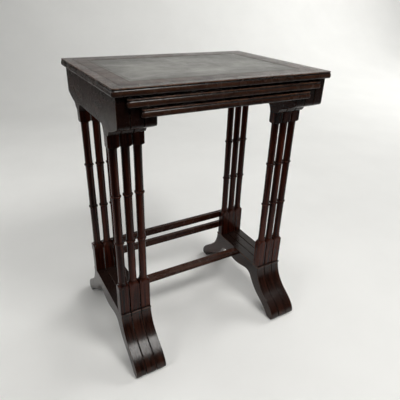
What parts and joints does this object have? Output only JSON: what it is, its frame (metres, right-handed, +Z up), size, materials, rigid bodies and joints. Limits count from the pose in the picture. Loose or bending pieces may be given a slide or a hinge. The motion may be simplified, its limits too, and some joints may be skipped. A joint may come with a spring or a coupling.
{
  "type": "nest of tables",
  "caption": "Nest of slender mahogany tables on turned legs and sawn trestle feet; the smaller ones slide out to the front from inside the largest.",
  "frame": {"origin": "on the floor under the centre of the large table", "axes": "+X to the right along the long side of the tops, -Y to the front where the smaller tables slide out, +Z up"},
  "size_m": [0.516, 0.402, 0.7],
  "materials": {
    "mahogany_top": "French-polished dark red mahogany, glossy, worn lighter on the moulded edge",
    "mahogany_frame": "French-polished dark mahogany, satin gloss, nearly black in the hollows",
    "mahogany_turned": "French-polished turned mahogany, glossy, red where the light comes through the polish",
    "mahogany_crossbanding": "cross-grained mahogany veneer, polished",
    "inlay_line": "boxwood line edged in ebony, polished over",
    "top_leather": "aged dark olive-grey leather, polished, fine grain",
    "beech_dowel": "plain beech",
    "brass_screw": "tarnished brass"
  },
  "bodies": {
    "large_table": {"large_top_board": "mahogany_top", "large_outer_line": "inlay_line", "large_crossbanding": "mahogany_crossbanding", "large_inner_line": "inlay_line", "large_leather": "top_leather", "large_end_board_left": "mahogany_frame", "large_foot_left": "mahogany_frame", "large_leg_front_left": "mahogany_turned", "large_dowel_front_left": "beech_dowel", "large_leg_back_left": "mahogany_turned", "large_dowel_back_left": "beech_dowel", "large_end_board_right": "mahogany_frame", "large_foot_right": "mahogany_frame", "large_leg_front_right": "mahogany_turned", "large_dowel_front_right": "beech_dowel", "large_leg_back_right": "mahogany_turned", "large_dowel_back_right": "beech_dowel", "large_stretcher": "mahogany_frame", "large_stretcher_screw_left": "brass_screw", "large_stretcher_screw_right": "brass_screw"},
    "medium_table": {"medium_top_board": "mahogany_top", "medium_outer_line": "inlay_line", "medium_crossbanding": "mahogany_crossbanding", "medium_inner_line": "inlay_line", "medium_leather": "top_leather", "medium_end_board_left": "mahogany_frame", "medium_foot_left": "mahogany_frame", "medium_leg_front_left": "mahogany_turned", "medium_dowel_front_left": "beech_dowel", "medium_leg_back_left": "mahogany_turned", "medium_dowel_back_left": "beech_dowel", "medium_end_board_right": "mahogany_frame", "medium_foot_right": "mahogany_frame", "medium_leg_front_right": "mahogany_turned", "medium_dowel_front_right": "beech_dowel", "medium_leg_back_right": "mahogany_turned", "medium_dowel_back_right": "beech_dowel", "medium_stretcher": "mahogany_frame", "medium_stretcher_screw_left": "brass_screw", "medium_stretcher_screw_right": "brass_screw"},
    "small_table": {"small_top_board": "mahogany_top", "small_outer_line": "inlay_line", "small_crossbanding": "mahogany_crossbanding", "small_inner_line": "inlay_line", "small_leather": "top_leather", "small_end_board_left": "mahogany_frame", "small_foot_left": "mahogany_frame", "small_leg_front_left": "mahogany_turned", "small_dowel_front_left": "beech_dowel", "small_leg_back_left": "mahogany_turned", "small_dowel_back_left": "beech_dowel", "small_end_board_right": "mahogany_frame", "small_foot_right": "mahogany_frame", "small_leg_front_right": "mahogany_turned", "small_dowel_front_right": "beech_dowel", "small_leg_back_right": "mahogany_turned", "small_dowel_back_right": "beech_dowel", "small_stretcher": "mahogany_frame"}
  },
  "joints": [
    {"name": "medium_table_slide", "type": "slide", "parent": "large_table", "child": "medium_table", "axis": [0, -1, 0], "range_m": [0, 0.42]},
    {"name": "small_table_slide", "type": "slide", "parent": "medium_table", "child": "small_table", "axis": [0, -1, 0], "range_m": [0, 0.42]}
  ]
}
